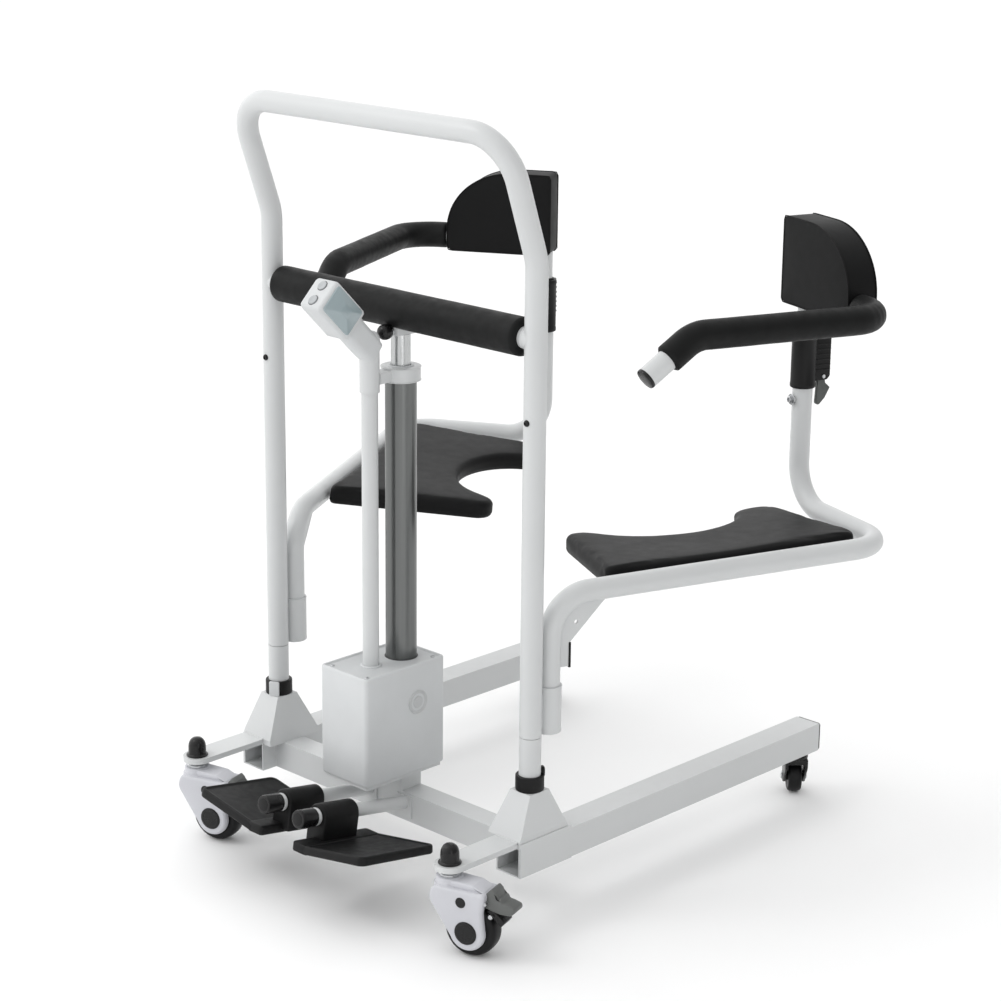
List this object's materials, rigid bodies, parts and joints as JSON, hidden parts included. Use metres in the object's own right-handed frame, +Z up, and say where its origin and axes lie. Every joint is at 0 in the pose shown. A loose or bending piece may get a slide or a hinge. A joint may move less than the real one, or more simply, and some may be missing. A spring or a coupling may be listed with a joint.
{
  "type": "sit to stand lift",
  "caption": "Wheeled standing aid with a powered lifting frame, padded cross bar, swing-open seat halves, back pads, arm rests, footrest and push handle.",
  "frame": {"origin": "centre of the footprint box, on the floor, seats swung open as at rest", "axes": "+Z up from the floor, +Y from the push handle towards the seats, X across the lift"},
  "size_m": [0.9765, 0.9255, 1.1075],
  "materials": {
    "white_paint": "white powder coat",
    "white_plastic": "satin moulded shell",
    "black_plastic": "matte black moulding",
    "foam_grip": "closed-cell foam skin",
    "upholstery": "black coated upholstery",
    "bright_steel": "satin",
    "brushed_aluminium": "brushed lengthwise",
    "black_rubber": "fine ribbed black",
    "tyre_rubber": "smooth tread",
    "grey_plastic": "satin blue-grey"
  },
  "bodies": {
    "base": {"side_legs": "white_paint", "cross_beam": "white_paint", "gusset_sockets": "white_paint", "post_collars": "black_plastic", "guide_posts": "white_paint", "leg_end_caps": "black_plastic", "caster_plates": "white_paint", "stem_caps": "black_plastic", "drive_housing": "white_plastic", "battery_pack": "black_plastic", "gear_motor": "bright_steel", "column_tube": "brushed_aluminium", "ring_clip": "white_plastic", "control_post": "white_paint", "control_neck": "white_plastic", "control_head": "white_plastic", "head_panels": "grey_plastic", "footrest_tubes": "white_paint", "pivot_caps": "black_plastic"},
    "spindle": {"lift_spindle": "bright_steel"},
    "raise_key": {"raise_button": "grey_plastic"},
    "lower_key": {"lower_button": "grey_plastic"},
    "lifting_frame": {"handle_frame": "white_paint", "crossbar_tube": "white_paint", "crossbar_pad": "foam_grip", "lift_rod": "brushed_aluminium", "rod_bracket": "white_paint", "seat_sockets": "white_paint", "frame_screws": "bright_steel"},
    "knob": {"pull_knob": "black_plastic"},
    "footplate_left": {"footplate_left": "black_rubber"},
    "seat_left": {"seat_tube_left": "white_paint", "seat_board_left": "black_plastic", "seat_pad_left": "upholstery", "latch_sleeve_left": "black_plastic"},
    "arm_left": {"arm_tube_left": "white_paint", "arm_pad_left": "foam_grip", "arm_cap_left": "black_plastic", "back_pad_left": "upholstery"},
    "lever_left": {"latch_lever_left": "grey_plastic"},
    "front_fork_left": {"caster_fork_left": "white_plastic"},
    "front_wheel_left": {"front_wheel_left": "tyre_rubber"},
    "pedal_left": {"brake_pedal_left": "grey_plastic"},
    "rear_fork_left": {"rear_fork_left": "black_plastic"},
    "rear_wheel_left": {"rear_wheel_left": "tyre_rubber"},
    "footplate_right": {"footplate_right": "black_rubber"},
    "seat_right": {"seat_tube_right": "white_paint", "seat_board_right": "black_plastic", "seat_pad_right": "upholstery", "latch_sleeve_right": "black_plastic"},
    "arm_right": {"arm_tube_right": "white_paint", "arm_pad_right": "foam_grip", "arm_cap_right": "black_plastic", "back_pad_right": "upholstery"},
    "lever_right": {"latch_lever_right": "grey_plastic"},
    "front_fork_right": {"caster_fork_right": "white_plastic"},
    "front_wheel_right": {"front_wheel_right": "tyre_rubber"},
    "pedal_right": {"brake_pedal_right": "grey_plastic"},
    "rear_fork_right": {"rear_fork_right": "black_plastic"},
    "rear_wheel_right": {"rear_wheel_right": "tyre_rubber"}
  },
  "joints": [
    {"name": "lift", "type": "slide", "parent": "base", "child": "lifting_frame", "axis": [0, 0, 1], "range_m": [0, 0.2]},
    {"name": "spindle_turn", "type": "hinge", "parent": "base", "child": "spindle", "pos_m": [0.042, -0.2135, 0.4], "axis": [0, 0, 1], "range_deg": [0, 3601]},
    {"name": "knob_pull", "type": "slide", "parent": "lifting_frame", "child": "knob", "axis": [0, -1, 0], "range_m": [0, 0.004], "stiffness_N_per_m": 300},
    {"name": "raise_press", "type": "slide", "parent": "base", "child": "raise_key", "axis": [0, 0.7071, -0.7071], "range_m": [0, 0.002], "stiffness_N_per_m": 600},
    {"name": "lower_press", "type": "slide", "parent": "base", "child": "lower_key", "axis": [0, 0.7071, -0.7071], "range_m": [0, 0.002], "stiffness_N_per_m": 600},
    {"name": "footplate_fold_left", "type": "hinge", "parent": "base", "child": "footplate_left", "pos_m": [0.0056, -0.4171, 0.1308], "axis": [0, 0.9863, -0.165], "range_deg": [0, 80]},
    {"name": "seat_swing_left", "type": "hinge", "parent": "lifting_frame", "child": "seat_left", "pos_m": [-0.2232, -0.185, 0.3], "axis": [0, 0, 1], "range_deg": [-29, 51]},
    {"name": "arm_height_left", "type": "slide", "parent": "seat_left", "child": "arm_left", "axis": [0, 0, 1], "range_m": [-0.035, 0.08]},
    {"name": "lever_lift_left", "type": "hinge", "parent": "seat_left", "child": "lever_left", "pos_m": [-0.29618, 0.44912, 0.655], "axis": [0.8746, 0.4848, 0], "range_deg": [0, 35], "stiffness_Nm_per_rad": 0.5},
    {"name": "front_swivel_left", "type": "hinge", "parent": "base", "child": "front_fork_left", "pos_m": [-0.2258, -0.3779, 0.08], "axis": [0, 0, 1], "continuous": true},
    {"name": "front_roll_left", "type": "hinge", "parent": "front_fork_left", "child": "front_wheel_left", "pos_m": [-0.19042, -0.36708, 0.0385], "axis": [-0.2924, 0.9563, 0], "continuous": true},
    {"name": "brake_left", "type": "hinge", "parent": "front_fork_left", "child": "pedal_left", "pos_m": [-0.1732, -0.36182, 0.084], "axis": [-0.2924, 0.9563, 0], "range_deg": [0, 14]},
    {"name": "rear_swivel_left", "type": "hinge", "parent": "base", "child": "rear_fork_left", "pos_m": [-0.228, 0.3785, 0.06], "axis": [0, 0, 1], "continuous": true},
    {"name": "rear_roll_left", "type": "hinge", "parent": "rear_fork_left", "child": "rear_wheel_left", "pos_m": [-0.24073, 0.39123, 0.025], "axis": [-0.7071, -0.7071, 0], "continuous": true},
    {"name": "footplate_fold_right", "type": "hinge", "parent": "base", "child": "footplate_right", "pos_m": [0.0784, -0.4171, 0.1308], "axis": [0, -0.9863, 0.165], "range_deg": [0, 80]},
    {"name": "seat_swing_right", "type": "hinge", "parent": "lifting_frame", "child": "seat_right", "pos_m": [0.3072, -0.185, 0.3], "axis": [0, 0, -1], "range_deg": [-19, 61]},
    {"name": "arm_height_right", "type": "slide", "parent": "seat_right", "child": "arm_right", "axis": [0, 0, 1], "range_m": [-0.035, 0.08]},
    {"name": "lever_lift_right", "type": "hinge", "parent": "seat_right", "child": "lever_right", "pos_m": [0.26896, 0.45216, 0.655], "axis": [0.9455, -0.3256, 0], "range_deg": [0, 35], "stiffness_Nm_per_rad": 0.5},
    {"name": "front_swivel_right", "type": "hinge", "parent": "base", "child": "front_fork_right", "pos_m": [0.3098, -0.3779, 0.08], "axis": [0, 0, 1], "continuous": true},
    {"name": "front_roll_right", "type": "hinge", "parent": "front_fork_right", "child": "front_wheel_right", "pos_m": [0.34518, -0.36708, 0.0385], "axis": [-0.2924, 0.9563, 0], "continuous": true},
    {"name": "brake_right", "type": "hinge", "parent": "front_fork_right", "child": "pedal_right", "pos_m": [0.3624, -0.36182, 0.084], "axis": [-0.2924, 0.9563, 0], "range_deg": [0, 14]},
    {"name": "rear_swivel_right", "type": "hinge", "parent": "base", "child": "rear_fork_right", "pos_m": [0.312, 0.3785, 0.06], "axis": [0, 0, 1], "continuous": true},
    {"name": "rear_roll_right", "type": "hinge", "parent": "rear_fork_right", "child": "rear_wheel_right", "pos_m": [0.29927, 0.39123, 0.025], "axis": [-0.7071, -0.7071, 0], "continuous": true}
  ],
  "couplings": [
    {"joint": "spindle_turn", "follows": "lift", "rad_per_m": 314.16}
  ]
}
